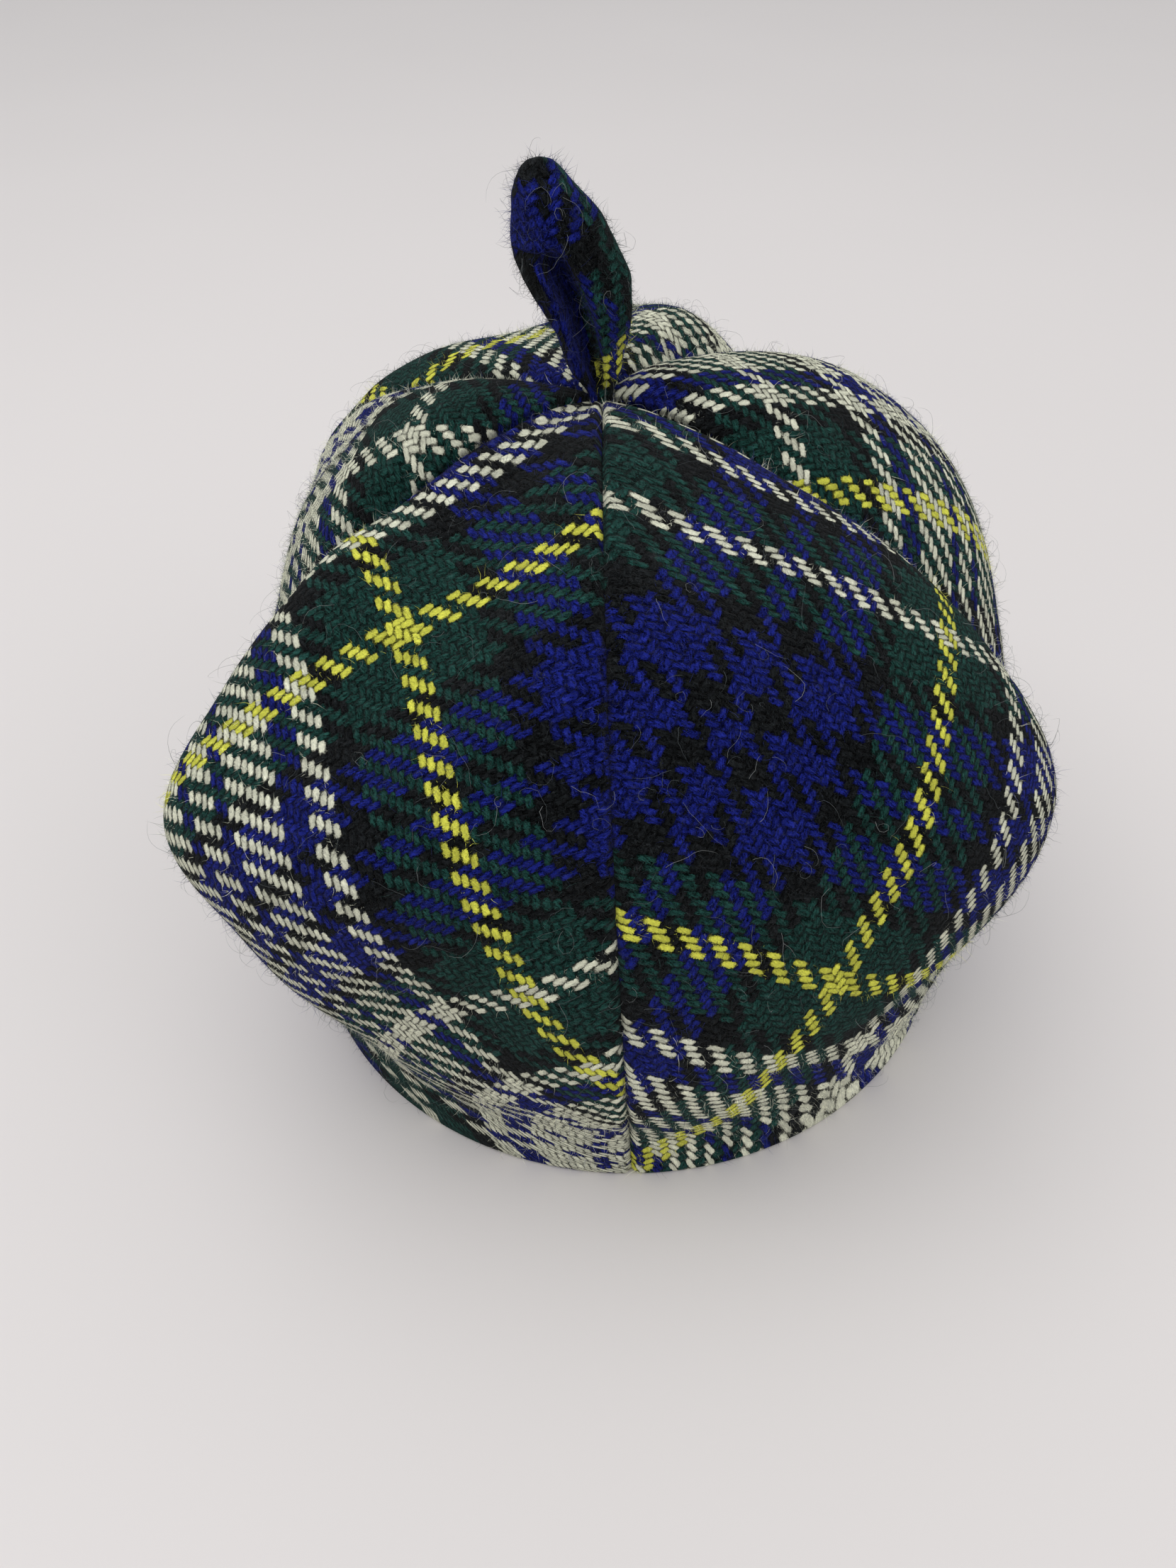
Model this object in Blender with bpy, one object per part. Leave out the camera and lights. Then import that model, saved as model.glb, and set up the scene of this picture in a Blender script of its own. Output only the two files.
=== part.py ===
"""Tam o shanter of coarse wool tartan: six puffed gores, a turned hem and a folded tail.

Metres, +Z up. The hat stands on the edge of its head opening at z = 0, over the origin, and its
front seam faces -Y. A gore is a wall of cloth between two sunk seams. Down the middle of the gore
runs the ridge of its lobe. Seams and ridges are meridians: each starts on the crown's top, runs out
to its widest place, and comes back in under it to the head opening.
"""
import math

import bpy
import numpy as np

MM = 0.001

# Driving dimensions
OPENING_RADIUS = 92 * MM       # outside of the cloth at the head opening, front to back
OPENING_SQUEEZE = 0.013        # share by which the opening is narrower from side to side
CROWN_HEIGHT = 158.5 * MM      # where the six seams meet, over the edge of the opening
CROWN_LEAN = (-5 * MM, 4 * MM)  # how far that place sits from over the middle of the opening
UPRIGHT = 38 * MM              # how far up the wall is pulled upright by the head opening
CLOTH = 2.2 * MM               # thickness of the wool
SEAM_THICKENING = 0.25         # share by which the wall is thicker at a seam, for the slant there
GAP = 0.3 * MM                 # between pieces that touch
HEM_CLEARANCE = 0.6 * MM       # between the hem and the gores, whose curved walls are flat facets here
HEM_HEIGHT = 20 * MM           # the cloth folded up inside the opening
TAIL_HOLE = 3.2 * MM           # radius of the place between the gores' tips where the tail is sewn in
LOBE_FULLNESS = 2.6            # 2 is a round lobe; more is fuller, with sharper seams

# How finely the pieces are divided
ROWS = 22                      # along a gore, top to bottom
COLUMNS = 10                   # across a gore
HEM_ROWS = 5
TAIL_SIDES = 28
TAIL_RINGS = 15

# The columns of both tables of meridians, lengths in millimetres:
#   widest    radius at the widest place
#   height    height of the widest place
#   reach     share of that radius that the top runs out before it turns down
#   lift      rise of the top as it leaves the middle
#   shoulder  share of the drop over which the shoulder is upright
#   tuck      share of the height below the widest place over which the wall stays upright
SEAMS = {
    # name:        (turned from the front, widest, height, reach, lift, shoulder, tuck)
    "front":       (0,   107.4, 66, 0.55, 12.5, 0.81, 0.55),
    "front_right": (60,   98.4, 69, 0.50, 1.6,  0.50, 0.55),
    "back_right":  (136,  91.5, 65, 0.48, 2.5,  0.45, 0.55),
    "back":        (181, 100.0, 88, 0.76, 13.0, 0.80, 0.55),
    "back_left":   (241,  94.8, 98, 0.59, 1.0,  0.65, 0.55),
    "front_left":  (300,  93.4, 70, 0.46, 8.0,  0.49, 0.55),
}
LOBES = {
    # node name: (from seam, to seam, widest, height, reach, lift, shoulder, tuck, ridge moved aside)
    "gore_front_right": ("front", "front_right",      116.4, 106, 0.58, 0.0,  0.51, 0.29, 0.59),
    "gore_side_right":  ("front_right", "back_right",  96.0, 94,  0.38, 22.5, 0.73, 0.50, 0.0),
    "gore_back_right":  ("back_right", "back",         94.0, 62,  0.48, 29.0, 0.77, 0.50, 0.0),
    "gore_back_left":   ("back", "back_left",         109.6, 77,  0.60, 13.5, 0.56, 0.50, 0.0),
    "gore_side_left":   ("back_left", "front_left",    91.0, 49,  0.76, 17.5, 0.54, 0.49, 0.0),
    "gore_front_left":  ("front_left", "front",       119.2, 104, 0.32, -3.0, 0.58, 0.27, -0.49),
}
# The folded tail, millimetres from the place where the seams meet.
# Its left and right outlines lean to the left; the groove opens to the front.
TAIL = [
    # (height, left, right, depth, groove's place, groove's depth)
    (-7.0,  -2.6,  2.6,  5.2,  0.0,  0.0),
    (0.4,   -2.6,  2.4,  4.8,  0.0,  0.0),
    (2.5,   -3.4,  2.7,  5.6, -0.6,  1.4),
    (6.0,   -6.2,  4.0,  8.0, -1.4,  3.4),
    (12.0,  -9.0,  6.0, 11.0, -3.0,  5.2),
    (20.0, -12.1,  6.7, 12.8, -5.4,  5.6),
    (26.0, -16.0,  6.0, 13.4, -7.2,  4.4),
    (31.0, -17.7,  4.6, 13.6, -9.0,  2.0),
    (36.5, -17.7,  1.2, 12.6, -9.5,  0.0),
    (42.5, -16.6, -4.0, 10.2, -9.5,  0.0),
    (46.5, -14.8, -8.0,  6.6, -10.5, 0.0),
]
TAIL_TIP = (-11.4, 48.1)       # sideways and up
GROOVE_WIDTH = 0.34            # radians of the tail's girth, to one side

WOOL = {
    # node name prefix: (red, green, blue, roughness)
    "gore": (0.045, 0.07, 0.12, 0.95),
    "hem":  (0.05, 0.07, 0.11, 0.95),
    "tail": (0.02, 0.025, 0.12, 0.95),
}


def cubic(points, count):
    """Points along a cubic Bezier curve."""
    t = np.linspace(0, 1, count)[:, None]
    a, b, c, d = (np.array(p, float) for p in points)
    return (1 - t) ** 3 * a + 3 * (1 - t) ** 2 * t * b + 3 * (1 - t) * t * t * c + t ** 3 * d


def meridian(widest, height, reach, lift, shoulder, tuck, rows):
    """A meridian's (radius, height) at equal steps along it, from the crown's top to the opening."""
    wide, high = widest * MM, height * MM
    over = cubic([(0, CROWN_HEIGHT), (reach * wide, CROWN_HEIGHT + lift * MM),
                  (wide, high + shoulder * (CROWN_HEIGHT - high)), (wide, high)], 60)
    under = cubic([(wide, high), (wide, high * (1 - tuck)),
                   (OPENING_RADIUS, UPRIGHT), (OPENING_RADIUS, 0)], 40)
    line = np.vstack([over, under[1:]])
    along = np.r_[0, np.cumsum(np.hypot(*np.diff(line, axis=0).T))]
    start = np.interp(TAIL_HOLE, line[:30, 0], along[:30])
    steps = np.linspace(start, along[-1], rows + 1)
    return np.c_[np.interp(steps, along, line[:, 0]), np.interp(steps, along, line[:, 1])]


def blended(lobe, across, rows):
    """The meridian at a place across a gore: -1 and 1 are its seams, and the ridge is in between."""
    first, last, *ridge, aside = LOBES[lobe]
    share = (across + 1) / 2
    share = share * share * (3 - 2 * share)
    seam_line = (meridian(*SEAMS[first][1:], rows) * (1 - share)
                 + meridian(*SEAMS[last][1:], rows) * share)
    ridge_line = meridian(*ridge, rows)
    bulge = 1 - abs(across + aside * (across * across - 1)) ** LOBE_FULLNESS
    return seam_line + (ridge_line - seam_line) * bulge


def inset(line, depth):
    """A meridian moved inwards by a depth, square to itself. It ends flat on the opening's edge."""
    slope = np.gradient(line, axis=0)
    slope[-1] = (0, -1)
    slope /= np.hypot(slope[:, 0], slope[:, 1])[:, None]
    return line + depth * np.c_[slope[:, 1], -slope[:, 0]]


def place(line, turn):
    """Points in space of a meridian turned from the front, with the crown's lean."""
    up = line[:, 1] / CROWN_HEIGHT
    narrow = 1 - OPENING_SQUEEZE * (1 - up)
    x = line[:, 0] * math.sin(turn) * narrow + CROWN_LEAN[0] * up
    y = -line[:, 0] * math.cos(turn) + CROWN_LEAN[1] * up
    return np.c_[x, y, line[:, 1]]


def seam_turns(lobe):
    """The turns of a gore's two seams from the front, in radians."""
    first, last = (SEAMS[seam][0] for seam in LOBES[lobe][:2])
    return math.radians(first), math.radians(last if last > first else last + 360)


def wall(lobe, depth, rows, columns):
    """A grid of points over a gore, at a depth inside its outer face: [row][column][xyz]."""
    first, last = seam_turns(lobe)
    lines = []
    for column in range(columns + 1):
        across = 2 * column / columns - 1
        turn = first + (last - first) * column / columns
        thickening = 1 + SEAM_THICKENING * abs(across) ** LOBE_FULLNESS
        lines.append(place(inset(blended(lobe, across, rows), depth * thickening), turn))
    return np.array(lines).transpose(1, 0, 2)


def clear_of_seams(grid, lobe):
    """Moves a gore's two edges off the seams' middles by half the gap."""
    first, last = seam_turns(lobe)
    for column, turn, sign in ((0, first, 1), (-1, last, -1)):
        grid[:, column] += sign * GAP / 2 * np.array((math.cos(turn), math.sin(turn), 0))
    return grid


def new_object(name, points, faces):
    mesh = bpy.data.meshes.new(name)
    mesh.from_pydata([tuple(map(float, p)) for p in points], [], faces)
    mesh.validate()
    mesh.shade_smooth()
    mesh.set_sharp_from_angle(angle=math.radians(50))
    obj = bpy.data.objects.new(name, mesh)
    bpy.context.scene.collection.objects.link(obj)
    red, green, blue, roughness = next(v for k, v in WOOL.items() if name.startswith(k))
    material = bpy.data.materials.new(name + "_wool")
    material.use_nodes = True
    shader = material.node_tree.nodes["Principled BSDF"]
    shader.inputs["Base Color"].default_value = (red, green, blue, 1)
    shader.inputs["Roughness"].default_value = roughness
    shader.inputs["Metallic"].default_value = 0
    mesh.materials.append(material)
    return obj


def make_gore(name):
    """One gore: a closed wall of cloth, its edges along the seams and its foot flat at z = 0."""
    outer = clear_of_seams(wall(name, 0, ROWS, COLUMNS), name)
    inner = clear_of_seams(wall(name, CLOTH, ROWS, COLUMNS), name)
    outer[-1, :, 2] = inner[-1, :, 2] = 0
    rows, columns = outer.shape[:2]
    points = np.vstack([outer.reshape(-1, 3), inner.reshape(-1, 3)])

    def at(layer, row, column):
        return layer * rows * columns + row * columns + column

    faces = []
    for row in range(rows - 1):
        for column in range(columns - 1):
            faces.append([at(0, row, column), at(0, row + 1, column),
                          at(0, row + 1, column + 1), at(0, row, column + 1)])
            faces.append([at(1, row, column), at(1, row, column + 1),
                          at(1, row + 1, column + 1), at(1, row + 1, column)])
        end = columns - 1
        faces.append([at(0, row, 0), at(1, row, 0), at(1, row + 1, 0), at(0, row + 1, 0)])
        faces.append([at(0, row, end), at(0, row + 1, end), at(1, row + 1, end), at(1, row, end)])
    foot = rows - 1
    for column in range(columns - 1):
        faces.append([at(0, 0, column), at(0, 0, column + 1), at(1, 0, column + 1), at(1, 0, column)])
        faces.append([at(0, foot, column), at(1, foot, column),
                      at(1, foot, column + 1), at(0, foot, column + 1)])
    return new_object(name, points, faces)


def make_hem():
    """The turned hem: a ring that follows the inside of all six gores up from the opening's edge."""
    rings = []
    for depth in (CLOTH + HEM_CLEARANCE, 2 * CLOTH + HEM_CLEARANCE):
        around = []
        for lobe in LOBES:
            grid = wall(lobe, depth, 8 * ROWS, COLUMNS)
            grid[-1, :, 2] = 0
            for column in range(COLUMNS):
                heights = grid[::-1, column, 2]
                levels = np.linspace(0, HEM_HEIGHT, HEM_ROWS + 1)
                around.append([[np.interp(z, heights, grid[::-1, column, 0]),
                                np.interp(z, heights, grid[::-1, column, 1]), z] for z in levels])
        rings.append(around)
    count, levels = len(rings[0]), HEM_ROWS + 1
    points = np.array(rings).reshape(-1, 3)

    def at(layer, column, level):
        return layer * count * levels + (column % count) * levels + level

    faces = []
    for column in range(count):
        for level in range(HEM_ROWS):
            faces.append([at(0, column, level), at(0, column + 1, level),
                          at(0, column + 1, level + 1), at(0, column, level + 1)])
            faces.append([at(1, column, level), at(1, column, level + 1),
                          at(1, column + 1, level + 1), at(1, column + 1, level)])
        faces.append([at(0, column, HEM_ROWS), at(0, column + 1, HEM_ROWS),
                      at(1, column + 1, HEM_ROWS), at(1, column, HEM_ROWS)])
        faces.append([at(0, column, 0), at(1, column, 0), at(1, column + 1, 0), at(0, column + 1, 0)])
    return new_object("hem", points, faces)


def make_tail():
    """The tail: a tab of cloth rolled up with its fold to the front, sewn in between the gores' tips."""
    table = np.array(TAIL)
    heights = np.r_[table[0, 0], np.linspace(table[1, 0], table[-1, 0], TAIL_RINGS - 1)]
    top = np.array([CROWN_LEAN[0], CROWN_LEAN[1], CROWN_HEIGHT])
    points = []
    for height in heights:
        left, right, depth, groove, groove_depth = (
            np.interp(height, table[:, 0], table[:, k]) for k in range(1, 6))
        centre, half = (left + right) / 2, (right - left) / 2
        groove_turn = math.acos(max(-0.8, min(0.8, (groove - centre) / half)))
        for side in range(TAIL_SIDES):
            turn = 2 * math.pi * side / TAIL_SIDES
            away = (turn - (2 * math.pi - groove_turn) + math.pi) % (2 * math.pi) - math.pi
            dent = groove_depth * math.exp(-(away / GROOVE_WIDTH) ** 2)
            x = centre + half * math.cos(turn)
            y = depth / 2 * math.sin(turn) + dent
            points.append(top + np.array([x, y, height]) * MM)
    foot = len(points)
    points.append(top + np.array([0, 0, table[0, 0]]) * MM)
    tip = len(points)
    points.append(top + np.array([TAIL_TIP[0], 0, TAIL_TIP[1]]) * MM)
    faces = []
    for side in range(TAIL_SIDES):
        beside = (side + 1) % TAIL_SIDES
        for ring in range(TAIL_RINGS - 1):
            low, high = ring * TAIL_SIDES, (ring + 1) * TAIL_SIDES
            faces.append([low + side, low + beside, high + beside, high + side])
        last = (TAIL_RINGS - 1) * TAIL_SIDES
        faces.append([beside, side, foot])
        faces.append([last + side, last + beside, tip])
    return new_object("tail", points, faces)


def main():
    for obj in list(bpy.data.objects):
        bpy.data.objects.remove(obj)
    for lobe in LOBES:
        make_gore(lobe)
    make_hem()
    make_tail()


main()
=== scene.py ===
import math

import bpy
import numpy as np
from mathutils import Matrix, Vector


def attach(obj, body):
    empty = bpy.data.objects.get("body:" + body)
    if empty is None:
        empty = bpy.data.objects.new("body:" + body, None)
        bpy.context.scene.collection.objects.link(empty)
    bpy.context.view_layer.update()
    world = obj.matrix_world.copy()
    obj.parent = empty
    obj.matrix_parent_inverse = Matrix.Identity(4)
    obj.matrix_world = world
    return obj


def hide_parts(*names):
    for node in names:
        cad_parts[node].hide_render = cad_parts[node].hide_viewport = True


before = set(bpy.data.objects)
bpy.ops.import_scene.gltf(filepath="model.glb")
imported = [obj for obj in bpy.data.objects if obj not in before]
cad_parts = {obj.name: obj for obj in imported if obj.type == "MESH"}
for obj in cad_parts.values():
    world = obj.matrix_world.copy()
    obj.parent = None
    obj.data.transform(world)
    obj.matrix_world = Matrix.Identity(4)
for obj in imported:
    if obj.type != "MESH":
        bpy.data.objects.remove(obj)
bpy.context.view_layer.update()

MM = 0.001

# ---------------------------------------------------------------- the hat's form
OPENING_RADIUS = 92 * MM
OPENING_SQUEEZE = 0.013
CROWN_HEIGHT = 158.5 * MM
CROWN_LEAN = (-5 * MM, 4 * MM)
UPRIGHT = 38 * MM
CLOTH = 2.2 * MM
HEM_HEIGHT = 20 * MM
LOBE_FULLNESS = 2.6
TOP_HOLE = 2.2 * MM
OVER_POINTS, UNDER_POINTS = 400, 300    # along a meridian, above and below its widest place

SEAMS = {
    # name:        (degrees from the front, widest, height, reach, lift, shoulder, tuck), with the radius
    # where it is widest, its height and the lift in millimetres, and the others as shares
    "front":       (0,   107.4, 66, 0.55, 12.5, 0.81, 0.55),
    "front_right": (60,   98.4, 69, 0.50, 1.6,  0.50, 0.55),
    "back_right":  (136,  91.5, 65, 0.48, 2.5,  0.45, 0.55),
    "back":        (181, 100.0, 88, 0.76, 13.0, 0.80, 0.55),
    "back_left":   (241,  94.8, 98, 0.59, 1.0,  0.65, 0.55),
    "front_left":  (300,  93.4, 70, 0.46, 8.0,  0.49, 0.55),
}
LOBES = {
    # node name: (from seam, to seam, widest, height, reach, lift, shoulder, tuck, ridge moved aside)
    "gore_front_right": ("front", "front_right",      116.4, 106, 0.58, 0.0,  0.51, 0.29, 0.59),
    "gore_side_right":  ("front_right", "back_right",  96.0, 94,  0.38, 22.5, 0.73, 0.50, 0.0),
    "gore_back_right":  ("back_right", "back",         94.0, 62,  0.48, 29.0, 0.77, 0.50, 0.0),
    "gore_back_left":   ("back", "back_left",         109.6, 77,  0.60, 13.5, 0.56, 0.50, 0.0),
    "gore_side_left":   ("back_left", "front_left",    91.0, 49,  0.76, 17.5, 0.54, 0.49, 0.0),
    "gore_front_left":  ("front_left", "front",       119.2, 104, 0.32, -3.0, 0.58, 0.27, -0.49),
}

# ---------------------------------------------------------------- the tartan
YARNS = {
    # letter: (red, green, blue), linear
    "Y": (0.65, 0.65, 0.085),
    "G": (0.0090, 0.036, 0.030),
    "K": (0.0066, 0.0075, 0.0081),
    "B": (0.0072, 0.0112, 0.115),
    "W": (0.69, 0.69, 0.545),
}
# The stripes of the tartan in order, each a yarn and its number of threads
SETT = "Y4 G8 K4 B8 K4 B4 K4 B8 K4 G8 W4 G8 K4 W4 B4 W8 B2 W4 B2 W8 B4 W4 K4 G8".split()
SETT_THREADS = sum(int(stripe[1:]) for stripe in SETT)
THREAD = 1.59 * MM             # from one thread to the next
LAID_STEP = 50 * MM
NEAR_ACROSS, NEAR_DOWN = 0.02, 0.01    # small steps that give a gore's slope at a place
# How the tartan lies on each gore, by the numbers of the threads. The gore is taken as pressed flat
# from a place on its ridge, with r steps of LAID_STEP to the right and d steps down.
LAID_FROM = {"gore_back_right": 0.28}      # that place's share of the way down, where it isn't the middle
CLOTH_LAID = {
    # gore: thread:                 (middle, r,     d,     r r,   r d,   d d,  r r r, r r d, r d d, d d d)
    "gore_front_left":  {"warp": (-16.3,  30.9, -18.3, -0.2,   2.5,  -0.1, -2.3,  -1.4,  -3.0,  -1.5),
                         "weft": (24.3,   27.0,  25.5, -2.9,   4.4,  -2.5,  1.2,  -1.8,  -0.8,  -2.3)},
    "gore_front_right": {"warp": (3.4,   -34.1, -20.9, -9.4,  -1.0,   2.3, -2.4,  -0.4,   3.1,   1.0),
                         "weft": (26.9,   22.9, -29.8, -1.9,  -9.0,   2.1, -3.0,  -8.2,  -1.5,   0.7)},
    "gore_side_right":  {"warp": (116.4,  14.8,  28.9, -5.1,  -2.3,  -3.0, -0.5,   3.3,   1.2,   0.7),
                         "weft": (-6.5,  -27.6,  13.8,  0.0,   1.9,   1.3, -0.2,  -0.3,  -1.1,  -0.5)},
    "gore_side_left":   {"warp": (110.5,  -4.6,  32.7, -7.4,   3.2,  -3.8, -2.9,   6.0,  -1.5,   0.8),
                         "weft": (60.7,  -31.3,  -4.0,  0.5,  -1.3,   0.0,  0.6,  -0.5,   0.8,  -0.4)},
    "gore_back_left":   {"warp": (-40.4,   3.4, -30.5, -2.0,   0.3,   0.2,  0.2,  -1.2,   0.0,   0.0),
                         "weft": (-15.5,  30.6,   3.2,  0.4,  -0.6,   0.0,  0.8,   0.2,  -0.9,   0.0)},
    "gore_back_right":  {"warp": (78.1,    0.2,  31.6, -3.2,  10.3,  -1.6, -0.8,   3.1,  -2.5,   0.3),
                         "weft": (-50.3, -32.0,  -4.9,  2.9,   2.3,  11.2, -1.1,  -0.7,   0.4,  -2.1)},
}


def cubic(points, count):
    t = np.linspace(0, 1, count)[:, None]
    a, b, c, d = (np.array(p, float) for p in points)
    return (1 - t) ** 3 * a + 3 * (1 - t) ** 2 * t * b + 3 * (1 - t) * t * t * c + t ** 3 * d


def meridian(widest, height, reach, lift, shoulder, tuck):
    """A meridian's (radius, height), closely spaced, and the length along it, from the crown's top."""
    wide, high = widest * MM, height * MM
    over = cubic([(0, CROWN_HEIGHT), (reach * wide, CROWN_HEIGHT + lift * MM),
                  (wide, high + shoulder * (CROWN_HEIGHT - high)), (wide, high)], OVER_POINTS)
    under = cubic([(wide, high), (wide, high * (1 - tuck)),
                   (OPENING_RADIUS, UPRIGHT), (OPENING_RADIUS, 0)], UNDER_POINTS)
    line = np.vstack([over, under[1:]])
    return line, np.r_[0, np.cumsum(np.hypot(*np.diff(line, axis=0).T))]


def at_shares(line, along, shares):
    return np.c_[np.interp(shares * along[-1], along, line[:, 0]),
                 np.interp(shares * along[-1], along, line[:, 1])]


def smooth(share):
    share = np.clip(share, 0, 1)
    return share * share * (3 - 2 * share)


def unit(vectors):
    return vectors / np.linalg.norm(vectors, axis=-1, keepdims=True)


def surface(lobe, across, shares):
    """Points over a gore, [share down][across][xyz], and the length of its ridge."""
    first, last, *ridge, aside = LOBES[lobe]
    seam_first = at_shares(*meridian(*SEAMS[first][1:]), shares)[:, None]
    seam_last = at_shares(*meridian(*SEAMS[last][1:]), shares)[:, None]
    ridge_line, ridge_along = meridian(*ridge)
    middle = at_shares(ridge_line, ridge_along, shares)[:, None]
    side = smooth((across + 1) / 2)[None, :, None]
    bulge = (1 - np.abs(across + aside * (across * across - 1)) ** LOBE_FULLNESS)[None, :, None]
    seam = seam_first * (1 - side) + seam_last * side
    line = seam + (middle - seam) * bulge
    start, stop = SEAMS[first][0], SEAMS[last][0]
    stop += 360 if stop < start else 0
    turn = np.radians(start + (stop - start) * (across + 1) / 2)
    up = line[..., 1] / CROWN_HEIGHT
    x = line[..., 0] * np.sin(turn) * (1 - OPENING_SQUEEZE * (1 - up)) + CROWN_LEAN[0] * up
    y = -line[..., 0] * np.cos(turn) + CROWN_LEAN[1] * up
    return np.stack([x, y, line[..., 1]], -1), ridge_along[-1]


def normals(grid):
    """Unit normals of a grid of points, facing out of the hat."""
    return unit(np.cross(np.gradient(grid, axis=0), np.gradient(grid, axis=1)))


def threads(lobe, points):
    """The numbers of the warp and weft threads at places on a gore."""
    share = LAID_FROM.get(lobe, 0.5)
    near, _ = surface(lobe, np.array([-NEAR_ACROSS, 0, NEAR_ACROSS]),
                      np.array([share - NEAR_DOWN, share, share + NEAR_DOWN]))
    middle, down, over = near[1, 1], near[2, 1] - near[0, 1], near[1, 2] - near[1, 0]
    right = unit(np.cross(-down, np.cross(down, over)))
    away = points - middle
    flat = np.stack([away @ right, away @ unit(down)], -1)
    reach = np.linalg.norm(away, axis=-1) / np.maximum(np.linalg.norm(flat, axis=-1), 1e-9)
    r, d = np.moveaxis(flat * reach[..., None] / LAID_STEP, -1, 0)
    powers = (r * 0 + 1, r, d, r * r, r * d, d * d, r * r * r, r * r * d, r * d * d, d * d * d)
    return np.stack([sum(amount * power for amount, power in zip(CLOTH_LAID[lobe][thread], powers))
                     for thread in ("warp", "weft")], -1)


# ---------------------------------------------------------------- camera
CAMERA_PLACE = (-4.16 * MM, -245.8 * MM, 268.6 * MM)
CAMERA_DOWN, CAMERA_ROLL, CAMERA_YAW = math.radians(41.84), math.radians(-1.67), math.radians(-1.44)
FOCAL_PIXELS, PHOTO_HEIGHT = 1671, 2212
SENSOR = 36.0
CLIP_NEAR, CLIP_FAR = 0.01, 50


def make_camera():
    ahead = Vector((math.sin(CAMERA_YAW) * math.cos(CAMERA_DOWN),
                    math.cos(CAMERA_YAW) * math.cos(CAMERA_DOWN), -math.sin(CAMERA_DOWN)))
    right = Vector((math.cos(CAMERA_YAW), -math.sin(CAMERA_YAW), 0))
    up = right.cross(ahead)
    rolled_right = right * math.cos(CAMERA_ROLL) + up * math.sin(CAMERA_ROLL)
    rolled_up = -right * math.sin(CAMERA_ROLL) + up * math.cos(CAMERA_ROLL)
    data = bpy.data.cameras.new("camera")
    data.sensor_width = SENSOR
    data.lens = SENSOR * FOCAL_PIXELS / PHOTO_HEIGHT
    data.clip_start = CLIP_NEAR
    data.clip_end = CLIP_FAR
    camera = bpy.data.objects.new("camera", data)
    turn = Matrix((rolled_right, rolled_up, -ahead)).transposed().to_4x4()
    camera.matrix_world = Matrix.Translation(CAMERA_PLACE) @ turn
    bpy.context.scene.collection.objects.link(camera)
    bpy.context.scene.camera = camera


# ---------------------------------------------------------------- nodes
class Graph:
    """Shorthand for building a material's nodes."""

    def __init__(self, name):
        self.material = bpy.data.materials.new(name)
        self.material.use_nodes = True
        self.tree = self.material.node_tree
        self.shader = self.tree.nodes["Principled BSDF"]

    def put(self, socket, value):
        if isinstance(value, bpy.types.NodeSocket):
            self.tree.links.new(value, socket)
        else:
            socket.default_value = value

    def node(self, kind, inputs, output=0, **settings):
        made = self.tree.nodes.new(kind)
        for key, value in settings.items():
            setattr(made, key, value)
        for key, value in inputs.items():
            self.put(made.inputs[key], value)
        return made.outputs[output]

    def math(self, operation, *values):
        return self.node("ShaderNodeMath", dict(enumerate(values)), operation=operation)

    def vector_math(self, operation, *values):
        return self.node("ShaderNodeVectorMath", dict(enumerate(values)), operation=operation)

    def scaled(self, vector, amount):
        return self.node("ShaderNodeVectorMath", {0: vector, "Scale": amount}, operation="SCALE")

    def vector(self, x, y, z):
        return self.node("ShaderNodeCombineXYZ", {0: x, 1: y, 2: z})

    def split(self, vector):
        return self.node("ShaderNodeSeparateXYZ", {0: vector}).node.outputs

    def mix(self, factor, a, b):
        return self.node("ShaderNodeMix", {0: factor, 6: a, 7: b}, 2, data_type="RGBA")

    def lerp(self, factor, a, b):
        return self.node("ShaderNodeMix", {0: factor, 2: a, 3: b}, 0, data_type="FLOAT")

    def noise(self, vector, scale, detail, output=0):
        return self.node("ShaderNodeTexNoise", {"Vector": vector, "Scale": scale, "Detail": detail}, output)

    def random(self, vector, output=0):
        return self.node("ShaderNodeTexWhiteNoise", {"Vector": vector}, output, noise_dimensions="3D")

    def range(self, value, low, high, to_low=0.0, to_high=1.0, smooth=False):
        return self.node("ShaderNodeMapRange", {0: value, 1: low, 2: high, 3: to_low, 4: to_high},
                         interpolation_type="SMOOTHSTEP" if smooth else "LINEAR")

    def thread_place(self):
        node = self.tree.nodes.new("ShaderNodeUVMap")
        node.uv_map = "thread"
        return node.outputs[0]

    def strongest(self, masks):
        together = masks[0]
        for mask in masks[1:]:
            together = self.math("MAXIMUM", together, mask)
        return together

    def finish(self, colour, roughness, specular):
        self.put(self.shader.inputs["Base Color"], colour)
        self.put(self.shader.inputs["Roughness"], roughness)
        self.put(self.shader.inputs["Specular IOR Level"], specular)
        return self.material


# ---------------------------------------------------------------- the cloth's look
TWILL = 4.0                    # threads before the twill repeats
ON_TOP = 1.5                   # between the steps of the twill with the warp on top, 0 and 1, and the others
WANDER = {
    # how yarns stray: (the noise's scale, its detail, reach in threads)
    "slow":   (0.31, 2.0, 0.90),
    "fast":   (1.90, 3.0, 0.42),
    "ragged": (6.50, 2.0, 0.55),
}
# A float is a stretch of yarn that lies on top. Places along it and across it run from -1 to 1.
FLOAT_SHIFT_ALONG, FLOAT_SHIFT_ACROSS = 0.14, 0.16
FLOAT_LEAN = 0.14              # the slant that the yarn's twist gives it
FLOAT_SQUARE_ACROSS, FLOAT_SQUARE_ALONG = 2.6, 3.0
FLOAT_SIZE = 1.06
FIBRE_ACROSS, FIBRE_LEAN, FIBRE_ALONG = 2.1, -1.5, 0.75
FIBRE_SEEDS, FIBRE_SCALE, FIBRE_DETAIL = 40.0, 1.7, 4.0
PALE_FROM, PALE_TO = 0.06, 0.4           # a yarn's green, from dark to pale
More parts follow.
